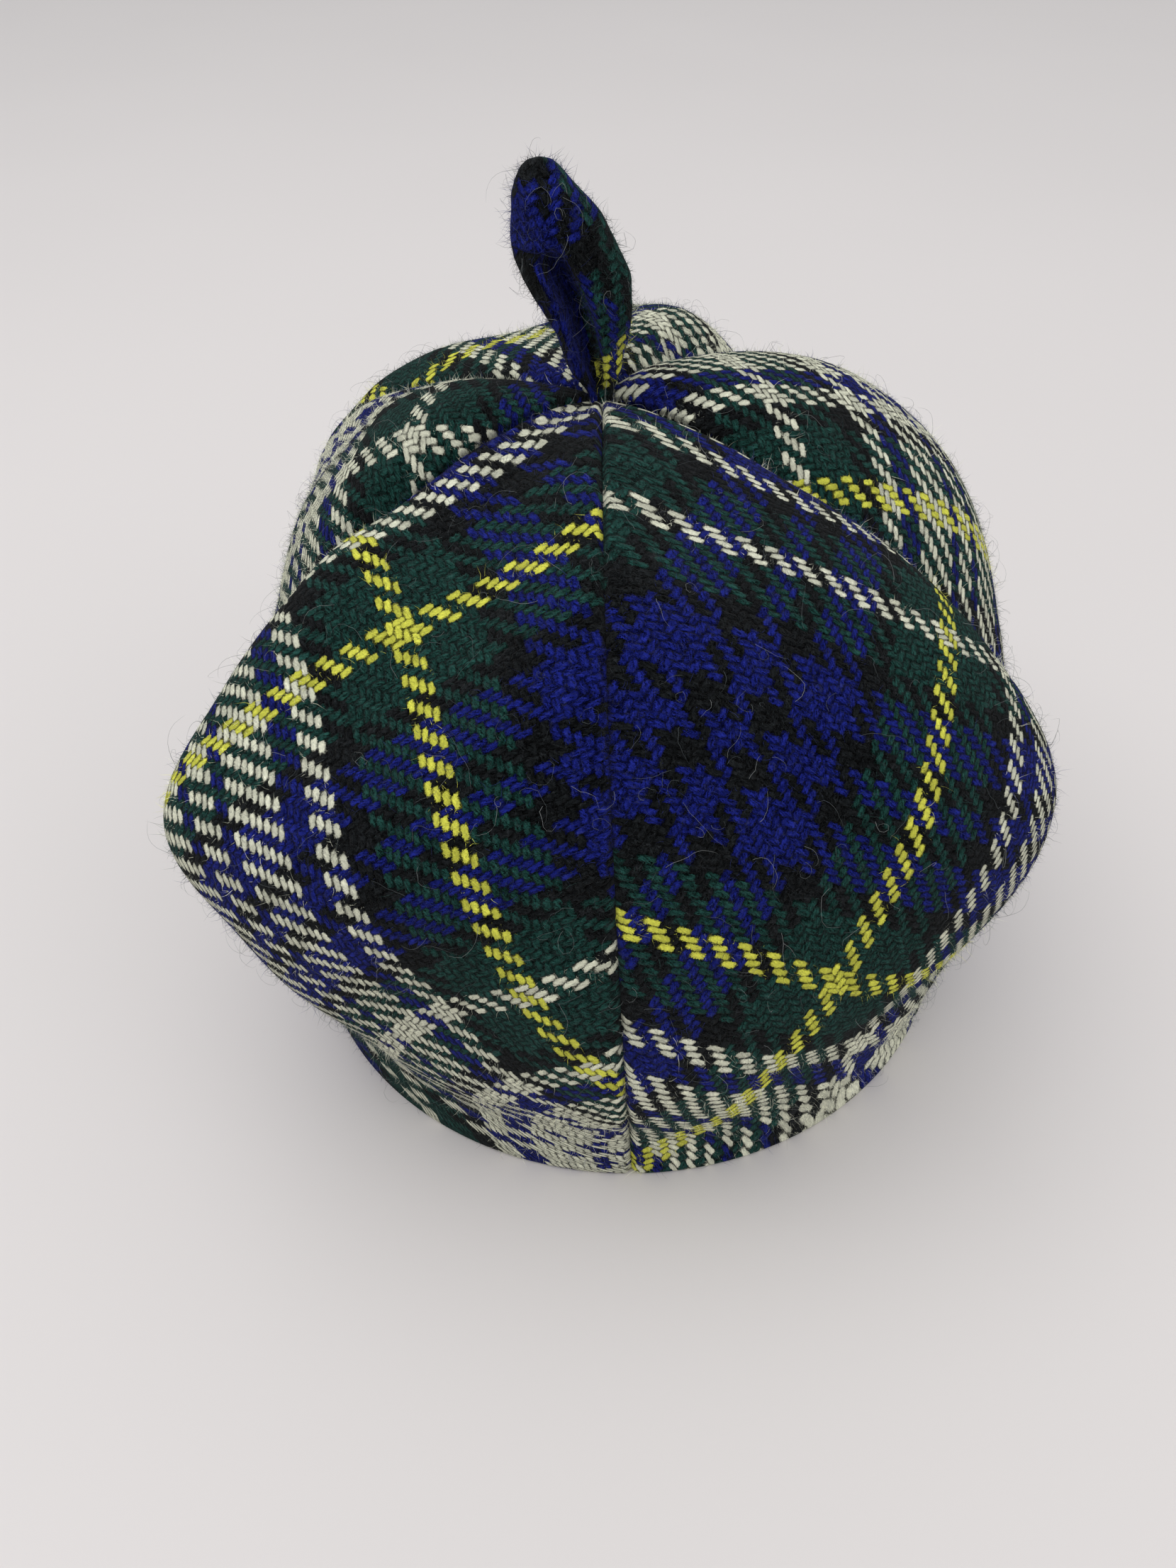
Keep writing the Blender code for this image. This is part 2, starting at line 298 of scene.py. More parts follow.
# How fibres vary a yarn's lightness, in painted highlights and shade along them: (noise from, noise to,
# lightness from, lightness to)
DARK_FIBRE_SHADING = (0.37, 0.64, 0.04, 2.20)
PALE_FIBRE_SHADING = (0.30, 0.70, 0.60, 1.20)
YARN_LIGHTNESS = (0.80, 1.20)            # from yarn to yarn
# Painted shade in the gaps between the floats, where they dive under each other
DARK_SHADE_REACH, PALE_SHADE_REACH = 0.80, 0.85        # how far in from its rim a float reaches its full lightness
# For a dark yarn and a pale one, the first being the painted shade at a float's rim:
RIM_SHADE = (0.22, 0.08)
FUZZ_COVER = (0.55, 0.20)
FIBRE_RELIEF = (0.55, 0.35)

FUZZ_GAIN, FUZZ_TINT = (2.0, 2.0, 2.0), (0.002, 0.0025, 0.003)
FUZZ_PATCHES = (0.35, 0.65, 0.35, 1.0)   # noise from and to, cover from and to
FUZZ_HAIRS = [
    # short hairs: (degrees, place in the noise, thinness, shortness)
    (12,   3.0, 6.5, 0.9),
    (71,   9.0, 7.5, 1.1),
    (128, 15.0, 6.8, 0.8),
    (160, 21.0, 9.0, 1.3),
]
STRAY_HAIRS = [
    # longer hairs: (the noise's scale, place in the noise, half width)
    (0.33,  3.1, 0.008),
    (0.55, 17.7, 0.010),
    (0.95, 31.3, 0.014),
]
FUZZ_SHOWN, STRAY_SHOWN = (0.60, 0.72), (0.5, 0.6)       # the noise where hairs begin and are full
STRAY_CORE, STRAY_PATCH_SCALE = 0.35, 0.8
STRAY_COVER, STRAY_COLOUR = 0.12, (0.12, 0.13, 0.14, 1)
RELIEF_STRENGTH, RELIEF_DEPTH, FUZZ_RELIEF = 0.9, 0.5 * MM, 0.22
SHEEN, SHEEN_ROUGHNESS = 0.05, 0.30
LOOSE_GAIN, LOOSE_TINT = (1.2, 1.2, 1.2), (0.018, 0.022, 0.023)
LOOSE_LIGHTNESS = (0.35, 1.65)           # from fibre to fibre
HAIR_DARK, HAIR_PALE = (0.055, 0.070, 0.075, 1), (0.36, 0.37, 0.36, 1)
HAIR_SPREAD = (-0.6, 1.0)                # below nought is dark


def sett_ramp(g, thread):
    """The colour of a thread, from its number."""
    number = g.math("FLOORED_MODULO", thread, SETT_THREADS)
    out = g.node("ShaderNodeValToRGB", {0: g.math("DIVIDE", g.math("ADD", number, 0.5), SETT_THREADS)})
    ramp = out.node.color_ramp
    ramp.interpolation = "CONSTANT"
    ramp.elements.remove(ramp.elements[1])
    start = 0
    for stripe in SETT:
        stop = ramp.elements.new(start / SETT_THREADS) if start else ramp.elements[0]
        stop.position = start / SETT_THREADS
        stop.color = (*YARNS[stripe[0]], 1)
        start += int(stripe[1:])
    return out


def lying_hairs(g, x, y, turn, seed, thin, short):
    """Short straight hairs, all lying about one way."""
    c, s = math.cos(math.radians(turn)), math.sin(math.radians(turn))
    along = g.math("MULTIPLY", g.math("MULTIPLY_ADD", x, c, g.math("MULTIPLY", y, s)), short)
    across = g.math("MULTIPLY", g.math("MULTIPLY_ADD", x, -s, g.math("MULTIPLY", y, c)), thin)
    return g.range(g.noise(g.vector(along, across, seed), 1.0, 1.0), *FUZZ_SHOWN)


def wandering_hairs(g, x, y, scale, seed, thin):
    """Longer hairs, along lines where a noise is at its middle."""
    off = g.math("ABSOLUTE", g.math("SUBTRACT", g.noise(g.vector(x, y, seed), scale, 1.5), 0.5))
    here = g.noise(g.vector(x, y, seed + 5), scale * STRAY_PATCH_SCALE, 1.0)
    return g.math("MULTIPLY", g.range(off, thin, thin * STRAY_CORE), g.range(here, *STRAY_SHOWN))


def weave(g, place):
    """What lies on top in the twill: the yarns' places, the yarn's colour, random numbers for its float,
    and the place along and across the float."""
    moved = place
    for scale, detail, reach in WANDER.values():
        stray = g.vector_math("SUBTRACT", g.noise(place, scale, detail, 1), (0.5, 0.5, 0.5))
        moved = g.vector_math("MULTIPLY_ADD", stray, (reach, reach, 0), moved)
    warp_at, weft_at, _ = g.split(moved)
    warp, weft = g.math("FLOOR", warp_at), g.math("FLOOR", weft_at)
    step = g.math("FLOORED_MODULO", g.math("SUBTRACT", weft, warp), TWILL)
    warp_on_top = g.math("LESS_THAN", step, ON_TOP)
    # The number of a float along its yarn, and with it the place on the float
    warp_run = g.math("DIVIDE", g.math("SUBTRACT", weft_at, warp), TWILL)
    weft_run = g.math("DIVIDE", g.math("SUBTRACT", g.math("SUBTRACT", warp_at, weft), 1.0), TWILL)
    run = g.lerp(warp_on_top, weft_run, warp_run)
    chosen = g.lerp(warp_on_top, weft, warp)
    own = g.split(g.random(g.vector(chosen, g.math("FLOOR", run), warp_on_top), 1))
    along = g.math("MULTIPLY_ADD", g.math("FRACT", run), TWILL, -1.0)
    across = g.lerp(warp_on_top, g.math("FRACT", weft_at), g.math("FRACT", warp_at))
    across = g.math("MULTIPLY_ADD", across, 2.0, -1.0)
    along = g.math("ADD", along, g.range(own[0], 0.0, 1.0, -FLOAT_SHIFT_ALONG, FLOAT_SHIFT_ALONG))
    across = g.math("ADD", across, g.range(own[1], 0.0, 1.0, -FLOAT_SHIFT_ACROSS, FLOAT_SHIFT_ACROSS))
    yarn = g.mix(warp_on_top, sett_ramp(g, weft), sett_ramp(g, warp))
    return (warp_at, weft_at), yarn, own, along, across


def tartan_material(name):
    """Coarse wool in a two-and-two twill, by the thread numbers in the UV map."""
    g = Graph(name)
    place = g.thread_place()
    at, yarn, own, along, across = weave(g, place)
    pale = g.range(g.split(yarn)[1], PALE_FROM, PALE_TO)
    # An oval swell, slanted by the yarn's twist, that dives under at both ends
    leaning = g.math("MULTIPLY_ADD", along, FLOAT_LEAN, across)
    oval = g.math("ADD", g.math("POWER", g.math("ABSOLUTE", leaning), FLOAT_SQUARE_ACROSS),
                  g.math("POWER", g.math("ABSOLUTE", along), FLOAT_SQUARE_ALONG))
    inside = g.math("SUBTRACT", FLOAT_SIZE, oval)
    swell = g.math("SQRT", g.math("MAXIMUM", inside, 0.0))
    dark_rim_shade = g.range(inside, 0.0, DARK_SHADE_REACH, smooth=True)
    pale_rim_shade = g.range(swell, 0.0, PALE_SHADE_REACH, smooth=True)
    # Twisted fibres run along the float at a slant, with painted highlights and shade along them
    sideways = g.math("MULTIPLY_ADD", along, FIBRE_LEAN, g.math("MULTIPLY", across, FIBRE_ACROSS))
    lengthways = g.math("MULTIPLY", along, FIBRE_ALONG)
    seed = g.math("MULTIPLY", own[2], FIBRE_SEEDS)
    fibre = g.noise(g.vector(sideways, lengthways, seed), FIBRE_SCALE, FIBRE_DETAIL)
    light = g.lerp(pale, g.range(fibre, *DARK_FIBRE_SHADING), g.range(fibre, *PALE_FIBRE_SHADING))
    light = g.math("MULTIPLY", light, g.range(own[0], 0.0, 1.0, *YARN_LIGHTNESS))
    # Painted shade: a float darkens towards its rim, where the gaps between floats lie in shade
    fade = g.lerp(g.lerp(pale, dark_rim_shade, pale_rim_shade), g.lerp(pale, *RIM_SHADE), 1.0)
    light = g.math("MULTIPLY", light, fade)
    colour = g.scaled(yarn, light)
    # Fuzz: short hairs lying all ways, and longer stray ones that wander
    fuzz = g.strongest([lying_hairs(g, *at, *hairs) for hairs in FUZZ_HAIRS])
    fuzz = g.math("MULTIPLY", fuzz, g.range(g.noise(place, 0.55, 2.0), *FUZZ_PATCHES))
    lighter = g.vector_math("MULTIPLY_ADD", yarn, FUZZ_GAIN, FUZZ_TINT)
    colour = g.mix(g.math("MULTIPLY", fuzz, g.lerp(pale, *FUZZ_COVER)), colour, lighter)
    stray = g.strongest([wandering_hairs(g, *at, *hairs) for hairs in STRAY_HAIRS])
    colour = g.mix(g.math("MULTIPLY", stray, STRAY_COVER), colour, STRAY_COLOUR)
    height = g.math("MULTIPLY_ADD", fibre, g.lerp(pale, *FIBRE_RELIEF), swell)
    height = g.math("MULTIPLY_ADD", fuzz, FUZZ_RELIEF, height)
    relief = {"Height": height, "Strength": RELIEF_STRENGTH, "Distance": RELIEF_DEPTH}
    g.put(g.shader.inputs["Normal"], g.node("ShaderNodeBump", relief))
    g.put(g.shader.inputs["Sheen Weight"], SHEEN)
    g.put(g.shader.inputs["Sheen Roughness"], SHEEN_ROUGHNESS)
    return g.finish(colour, roughness=0.95, specular=0.012)


def fibre_material(name):
    """Loose wool fibres, coloured by the thread each one comes from."""
    g = Graph(name)
    warp_at, weft_at, _ = g.split(g.thread_place())
    pick = g.split(g.random(g.vector(warp_at, weft_at, 1.0), 1))
    weft, warp = sett_ramp(g, g.math("FLOOR", weft_at)), sett_ramp(g, g.math("FLOOR", warp_at))
    yarn = g.mix(g.math("LESS_THAN", pick[0], 0.5), weft, warp)
    colour = g.vector_math("MULTIPLY_ADD", yarn, LOOSE_GAIN, LOOSE_TINT)
    colour = g.scaled(colour, g.range(pick[1], 0.0, 1.0, *LOOSE_LIGHTNESS))
    return g.finish(colour, roughness=0.8, specular=0.1)


def hair_material(name):
    """Long pale hairs that have worked out of the wool."""
    g = Graph(name)
    warp_at, weft_at, _ = g.split(g.thread_place())
    spread = g.random(g.vector(warp_at, weft_at, 3.0))
    lightness = g.range(spread, 0.0, 1.0, *HAIR_SPREAD)
    return g.finish(g.mix(lightness, HAIR_DARK, HAIR_PALE), roughness=0.7, specular=0.5)


# ---------------------------------------------------------------- meshes
def new_object(name, points, faces, material, corner_threads):
    """A mesh with the thread numbers at each face's corners as its UV map."""
    mesh = bpy.data.meshes.new(name)
    mesh.from_pydata(points, [], faces)
    mesh.update()
    layer = mesh.uv_layers.new(name="thread")
    layer.uv.foreach_set("vector", corner_threads.astype(np.float32).ravel())
    mesh.shade_smooth()
    mesh.materials.append(material)
    obj = bpy.data.objects.new(name, mesh)
    bpy.context.scene.collection.objects.link(obj)
    return obj


def ride(obj, node):
    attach(obj, "root")
    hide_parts(node)


def slab(outer, inner):
    """Points and faces of a closed sheet between two grids of the same size."""
    rows, columns = outer.shape[:2]
    index = np.arange(rows * columns).reshape(rows, columns)
    under = index + rows * columns
    a, b, c, d = index[:-1, :-1], index[1:, :-1], index[1:, 1:], index[:-1, 1:]
    faces = [np.stack([a, b, c, d], -1).reshape(-1, 4)]
    a, b, c, d = under[:-1, :-1], under[:-1, 1:], under[1:, 1:], under[1:, :-1]
    faces.append(np.stack([a, b, c, d], -1).reshape(-1, 4))
    for first, second in ((index[:, 0], under[:, 0]), (under[:, -1], index[:, -1]),
                          (under[0], index[0]), (index[-1], under[-1])):
        faces.append(np.stack([first[:-1], second[:-1], second[1:], first[1:]], -1))
    return np.vstack([outer.reshape(-1, 3), inner.reshape(-1, 3)]), np.vstack(faces)


class Pile:
    """Points, faces and corners' thread numbers of several sheets that make one piece."""

    def __init__(self):
        self.points, self.faces, self.threads, self.count = [], [], [], 0

    def add(self, points, faces, thread):
        self.points.append(points)
        self.faces += (np.asarray(faces) + self.count).tolist()
        self.threads.append(thread[np.asarray(faces)].reshape(-1, 2))
        self.count += len(points)

    def make(self, name, material):
        return new_object(name, np.vstack(self.points), self.faces, material, np.vstack(self.threads))


GORE_COLUMNS, GORE_ROWS, EDGE_ROWS, TURN_ROWS = 64, 124, 22, 5
EDGE_BAND = 16 * MM            # the stretch above the hat's edge with closer rows
EDGE_ROUND = 2.0 * MM
EVEN_COLUMNS, CROWDED_COLUMNS = 0.45, 0.55               # shares of an even and a crowding spread
SMOOTH_EDGE, SMOOTH_SEAM = 14 * MM, 9 * MM               # where the cloth's dents fade out
PUCKER, PUCKER_STEP, PUCKER_REACH = 0.22 * MM, 4.6 * MM, 6 * MM
SEAM_ROLL, SEAM_ROLL_WIDTH = 1.7 * MM, 0.75 * MM
# The line pressed in over the folded edge, with its depth in millimetres
CREASE_HEIGHT, CREASE_WIDTH = 4.6 * MM, 0.7 * MM
CREASE_DEPTH, CREASE_CHANGE, CREASE_STEP, CREASE_START = 0.22, 0.16, 17 * MM, 2.1
LAYER_GAP = 0.25 * MM                                    # between a gore and what lies inside it
# The seam allowances, each with its thickness in millimetres
SEAM_ALLOWANCE, ALLOWANCE_MOST, ALLOWANCE_CLOTH = 8 * MM, 0.42, 1.5
ALLOWANCE_START, ALLOWANCE_END = 0.02, 1.4               # past the top hole, and in heights of the hem
ALLOWANCE_FROM, ALLOWANCE_SPAN = 0.02, 0.98              # across it, from the seam
ALLOWANCE_WAVE, ALLOWANCE_WAVES = 0.35 * MM, 61
ALLOWANCE_ROWS, ALLOWANCE_COLUMNS, MEASURED_COLUMNS = 90, 9, 41
HEM_ROWS, HEM_TOP, HEM_WAVE, HEM_WAVES = 20, 1.02, 0.5 * MM, 19


def across_places(count):
    """Places from -1 to 1, closer together near the seams."""
    s = np.linspace(-1, 1, count + 1)
    return EVEN_COLUMNS * s + CROWDED_COLUMNS * np.sin(s * math.pi / 2)


WAVE_COUNT, WAVE_SHORTEST, WAVE_LONGEST = 26, 22, 75      # lengths in millimetres
WAVE_DEPTH = 0.0052                                      # as a share of its length
WAVES = np.random.default_rng(11)
WAVE_DIRECTIONS = unit(WAVES.normal(size=(WAVE_COUNT, 3)))
WAVE_LENGTHS = WAVES.uniform(WAVE_SHORTEST, WAVE_LONGEST, WAVE_COUNT) * MM
WAVE_STARTS = WAVES.uniform(0, 2 * math.pi, WAVE_COUNT)


def unevenness(points):
    """Soft dents and swells of cloth that has been handled, about a millimetre deep."""
    total = np.zeros(points.shape[:-1])
    for direction, length, start in zip(WAVE_DIRECTIONS, WAVE_LENGTHS, WAVE_STARTS):
        total += length * np.sin(points @ direction * (2 * math.pi / length) + start)
    return total * WAVE_DEPTH


def lengths_across(grid):
    steps = np.linalg.norm(np.diff(grid, axis=1), axis=-1)
    return np.concatenate([np.zeros((len(grid), 1)), np.cumsum(steps, axis=1)], axis=1)


def seam_allowances(lobe, top):
    """The gore's two edges inside the hat, pressed open against it."""
    ridge_length = meridian(*LOBES[lobe][2:8])[1][-1]
    end = 1 - ALLOWANCE_END * HEM_HEIGHT / ridge_length
    shares = np.linspace(top + ALLOWANCE_START, end, ALLOWANCE_ROWS)
    share_over = np.linspace(0, 1, ALLOWANCE_COLUMNS)
    places = ALLOWANCE_FROM + ALLOWANCE_SPAN * share_over
    for side in (-1, 1):
        near = side * (1 - np.linspace(0, 1, MEASURED_COLUMNS))
        wide, _ = surface(lobe, near, shares)
        lengths = lengths_across(wide)
        reach = np.minimum(SEAM_ALLOWANCE, ALLOWANCE_MOST * lengths[:, -1])
        strip = np.array([[np.interp(places * r, row, line[:, k]) for k in range(3)]
                          for r, row, line in zip(reach, lengths, wide)]).transpose(0, 2, 1)
        out = normals(strip) * -side
        wave = ALLOWANCE_WAVE * np.abs(np.sin(shares * ALLOWANCE_WAVES))[:, None] * share_over
        upper = strip - out * (CLOTH + LAYER_GAP + wave)[..., None]
        lower = upper - out * ALLOWANCE_CLOTH * MM
        points, faces = slab(upper, lower)
        folded = (2 * threads(lobe, strip[:, :1]) - threads(lobe, strip)).reshape(-1, 2)
        yield points, faces if side == 1 else faces[:, ::-1], np.vstack([folded, folded])


def turned_foot(grid, outer, inner, normal, thread):
    """Rows that turn under, round the folded edge: outer points, inner points and thread numbers."""
    outer_rows, inner_rows, thread_rows = [], [], []
    inward = normal[-1] * np.array([1, 1, 0])
    thread_step = (thread[-1] - thread[-4]) / np.linalg.norm(grid[-1] - grid[-4], axis=-1)[:, None]
    for step in range(1, TURN_ROWS + 1):
        angle = math.pi / 2 * step / TURN_ROWS
        foot = outer[-1] - inward * (EDGE_ROUND * (1 - math.cos(angle)))
        foot[:, 2] = EDGE_ROUND * (1 - math.sin(angle))
        outer_rows.append(foot)
        low = inner[-1].copy()
        low[:, 2] = EDGE_ROUND * (1 - step / TURN_ROWS)
        inner_rows.append(low)
        thread_rows.append(thread[-1] + thread_step * EDGE_ROUND * angle)
    return outer_rows, inner_rows, thread_rows


def make_gore(lobe, material):
    """One gore, and its outer face as grids of points, normals and thread numbers."""
    line, along = meridian(*LOBES[lobe][2:8])
    across = across_places(GORE_COLUMNS)
    rising = OVER_POINTS // 2      # so far a meridian only runs outwards
    top = np.interp(TOP_HOLE, line[:rising, 0], along[:rising]) / along[-1]
    end, band = 1 - EDGE_ROUND / along[-1], 1 - EDGE_BAND / along[-1]
    shares = np.r_[np.linspace(top, band, GORE_ROWS), np.linspace(band, end, EDGE_ROWS)[1:]]
    grid, ridge_length = surface(lobe, across, shares)
    normal = normals(grid)
    over = lengths_across(grid)
    to_seam = np.minimum(over, over[:, -1:] - over)
    down = (shares * ridge_length)[:, None]
    near_edge = np.clip((grid[..., 2] - EDGE_ROUND) / SMOOTH_EDGE, 0, 1)
    swell = unevenness(grid) * near_edge * np.clip(to_seam / SMOOTH_SEAM, 0, 1)
    pucker = PUCKER * np.sin(down / PUCKER_STEP) * np.exp(-to_seam / PUCKER_REACH) * near_edge
    roll = SEAM_ROLL * np.exp(-(to_seam / SEAM_ROLL_WIDTH) ** 2)
    depth = (CREASE_DEPTH + CREASE_CHANGE * np.sin(grid[..., 0] / CREASE_STEP + CREASE_START)) * MM
    crease = depth * np.exp(-((grid[..., 2] - CREASE_HEIGHT) / CREASE_WIDTH) ** 2)
    outer = grid + normal * (swell + pucker - roll - crease)[..., None]
    inner = grid + normal * (swell + pucker - CLOTH)[..., None]
    thread = threads(lobe, grid)
    feet = turned_foot(grid, outer, inner, normal, thread)
    outside, inside, numbers = (np.concatenate([rows, np.array(foot)])
                                for rows, foot in zip((outer, inner, thread), feet))
    numbers = numbers.reshape(-1, 2)
    pile = Pile()
    pile.add(*slab(outside, inside), np.vstack([numbers, numbers]))
    for strip in seam_allowances(lobe, top):
        pile.add(*strip)
    return pile.make(lobe.replace("gore", "tartan_gore"), material), outer, normal, thread


def hem_part(lobe):
    """The stretch of the turned hem behind one gore."""
    across = across_places(GORE_COLUMNS)[::2]
    _, along = meridian(*LOBES[lobe][2:8])
    shares = np.linspace(1 - HEM_TOP * HEM_HEIGHT / along[-1], 1, HEM_ROWS)
    grid, _ = surface(lobe, across, shares)
    normal = normals(grid)
    turn = np.arctan2(grid[..., 0], grid[..., 1])
    wave = HEM_WAVE * np.sin(turn * HEM_WAVES) * smooth(grid[..., 2] / HEM_HEIGHT)
    outer = grid - normal * (CLOTH + LAYER_GAP + np.maximum(wave, 0))[..., None]
    inner = outer - normal * CLOTH
    inner[-1, :, 2] = outer[-1, :, 2] = 0
    thread = threads(lobe, grid)
    folded = (2 * thread[-1:] - thread).reshape(-1, 2)
    return *slab(outer, inner), np.vstack([folded, folded])


# ---------------------------------------------------------------- the folded tail
TAIL = [
    # The columns, in millimetres from where the seams meet:
    # (height, left, right, depth, valley's place, valley's depth, half its width)
    (-7.0,  -2.6,  2.6,  5.2,  0.0,  0.0, 1.3),
    (0.4,   -2.6,  2.4,  4.8, -0.2,  0.6, 1.3),
    (2.5,   -3.6,  2.8,  5.8, -0.6,  2.2, 1.4),
    (6.0,   -6.2,  4.0,  8.4, -1.2,  4.8, 1.7),
    (12.0,  -9.0,  6.0, 11.0, -2.4,  7.2, 2.2),
    (20.0, -12.1,  6.7, 12.8, -4.8,  8.6, 2.5),
    (26.0, -16.0,  6.0, 13.4, -7.2,  8.4, 2.5),
    (30.0, -17.5,  4.9, 13.6, -8.8,  6.6, 2.3),
    (32.6, -17.8,  3.9, 13.4, -9.4,  1.2, 2.0),
    (34.0, -17.8,  3.0, 13.2, -9.4,  0.0, 2.0),
    (38.0, -17.4,  0.2, 12.2, -9.4,  0.0, 2.0),
    (42.0, -16.8, -3.4, 10.6, -9.8,  0.0, 2.0),
    (44.5, -16.2, -5.6,  9.0, -10.4, 0.0, 2.0),
    (46.5, -15.2, -7.3,  6.8, -10.8, 0.0, 2.0),
    (47.6, -14.0, -8.6,  4.4, -11.2, 0.0, 2.0),
    (48.1, -12.4, -10.2, 1.8, -11.3, 0.0, 2.0),
]
TAIL_HALVES = {"right": 1, "left": -1}
TAIL_ROWS, TAIL_COLUMNS, OUTLINE_POINTS = 120, 60, 900
TAIL_TOP = np.array([CROWN_LEAN[0], CROWN_LEAN[1], CROWN_HEIGHT])
TAIL_BIAS = math.radians(31)   # the tail's cloth is cut on the slant
TAIL_THREADS = (32.0, 2.0)     # its first warp and weft threads
TAIL_WEFT_FROM = (3.5, 8)      # where that weft lies: from the valley's edge, and in height, in millimetres
FLAP_THREADS = (38.4, 12.8)    # the same on the left, below the hood
FLAP_SLANT = 0.62              # how fast the flap's weft climbs, to the height
HOOD_FOOT = 32.4               # height of the hood's lower edge, in millimetres
HOOD = (31.5, -11.0, 5.5, 1.3)       # the fold over the valley: lower edge, middle, half its width, bulge
HOOD_RISE, HOOD_END = 1.6, 47  # the height over which it swells out, and where it ends
LIP = (0.7, 1.9, 0.8)          # the valley's raised edge: height, then place and width in its half widths
LIP_VALLEY = 5                 # depth of valley that gives the full lip
VALLEY_EDGE = 1.6              # where threads are counted from, in half widths of the valley
FRONT_SIDE = 0.35              # how far round, as a sine, the front comes in
TAIL_FOLDS = [
    # soft folds round the tail, in millimetres: (depth, height for a radian, radians for one round it)
    (0.30, 2.9, 2.1),
    (0.22, 1.9, -3.0),
]
FOLDS_FROM, FOLDS_FULL = 2.5, 5      # half width without folds, and how much more gives them in full
TIP, TIP_FADE = 47.5, 6        # the tip is plain: the folds fade out below it


def tail_outline(half, height):
    """Half of the tail's outline at a height, from the valley's floor to the back, with the lengths along
    it from the valley's edge."""
    heights, *columns = np.array(TAIL).T
    left, right, depth, valley, deep, wide = (np.interp(height, heights, column) for column in columns)
    centre, reach = (left + right) / 2, (right - left) / 2
    floor = math.acos(max(-0.9, min(0.9, (valley - centre) / reach)))
    turn = np.linspace(floor, -math.pi / 2 if half > 0 else 1.5 * math.pi, OUTLINE_POINTS)
    x, y = centre + reach * np.cos(turn), -depth / 2 * np.sin(turn)
    front = smooth(np.sin(turn) / FRONT_SIDE)
    away = np.abs(x - valley) / wide
    lip_height, lip_place, lip_width = LIP
    lip = lip_height * smooth(deep / LIP_VALLEY) * np.exp(-((away - lip_place) / lip_width) ** 2)
    edge, middle, broad, bulge = HOOD
    hood = bulge * smooth((height - edge) / HOOD_RISE) * smooth((HOOD_END - height) / TIP_FADE)
    hood = hood * np.exp(-((x - middle) / broad) ** 2)
    folds = sum(fold * np.sin(height / rise + spin * turn) for fold, rise, spin in TAIL_FOLDS)
    size = 1 + folds * smooth((reach - FOLDS_FROM) / FOLDS_FULL) * smooth((TIP - height) / TIP_FADE) / reach
    dented = y * size + front * (deep * np.exp(-away ** 3) - lip - hood)
    wavy = centre + (x - centre) * size
    along = np.r_[0, np.cumsum(np.hypot(np.diff(wavy), np.diff(dented)))]
    plain = np.r_[0, np.cumsum(np.hypot(np.diff(x), np.diff(y)))]
    beyond = np.argmax(away > VALLEY_EDGE)
    steps = np.linspace(0, along[-1], TAIL_COLUMNS)
    line = np.stack([np.interp(steps, along, wavy), np.interp(steps, along, dented)], -1)
    return line, half * (steps - along[beyond] + plain[beyond])


def tail_half(half):
    """Points, outward normals and thread numbers over half of the tail: [row][column]."""
    warp_foot, weft_foot = TAIL_THREADS
    weft_u, weft_height = TAIL_WEFT_FROM
    c, s = math.cos(TAIL_BIAS), math.sin(TAIL_BIAS)
    points, thread = [], []
    for height in np.linspace(TAIL[0][0], TAIL[-1][0], TAIL_ROWS):
        line, u = tail_outline(half, height)
        points.append(np.c_[line, np.full(len(line), height)])
        warp = warp_foot + (c * u + s * height) * MM / THREAD
        weft = weft_foot + (c * (height - weft_height) - s * (u - weft_u)) * MM / THREAD
        if half < 0 and height < HOOD_FOOT:
            warp = FLAP_THREADS[0] + c * u * MM / THREAD
            weft = FLAP_THREADS[1] + (FLAP_SLANT * height - s * u) * MM / THREAD
        thread.append(np.stack([warp, weft], -1))
    points = TAIL_TOP + np.array(points) * MM
    return points, normals(points) * -half, np.array(thread)


def make_tail(material):
    """A closed tube of cloth with a deep fold down its front. Its halves meet there and at the back."""
    halves = [tail_half(side) for side in TAIL_HALVES.values()]
    (right, _, right_thread), (left, _, left_thread) = halves
    rings = np.concatenate([right, left[:, -2:0:-1]], 1)
    rows, girth = rings.shape[:2]
    start = np.concatenate([right_thread[:, :-1], left_thread[:, :0:-1]], 1)
    end = np.concatenate([right_thread[:, 1:], left_thread[:, -2::-1]], 1)
    index = np.arange(rows * girth).reshape(rows, girth)
    beside = np.roll(index, -1, 1)
    faces = np.stack([index[:-1], index[1:], beside[1:], beside[:-1]], -1).reshape(-1, 4).tolist()
    corners = np.stack([start[:-1], start[1:], end[1:], end[:-1]], 2).reshape(-1, 2)
    faces += [index[0].tolist(), index[-1, ::-1].tolist()]
    corners = np.vstack([corners, start[0], start[-1, ::-1]])
    return new_object("folded_tail", rings.reshape(-1, 3), faces, material, corners), halves


# ---------------------------------------------------------------- loose fibres
FIBRE_KINDS = {
    # kind: (shortest, longest, radius), millimetres, and the number of its segments
    "straight": (0.7, 2.0, 0.050, 1),
    "bent":     (1.2, 3.8, 0.038, 2),
    "long":     (4.0, 14.0, 0.036, 9),
}
TIP_WIDTH = 0.3                # to the root's
STRAND_SIDE = (0.31, 0.52, 0.79)         # strands are turned with one corner square to this
FUZZ_SLANT = (0.25, 1.40)      # from upright, in radians
FUZZ_BEND, FUZZ_DEPTH = 0.30, 0.30       # for each segment, and the root's depth in millimetres
LONG_CURL, LONG_STRAY, LONG_DEPTH = 0.42, 0.30, 0.4
LONG_LIFT, LONG_RISE = 0.75, 0.1         # a long hair rises, comes down again and ends clear of the cloth


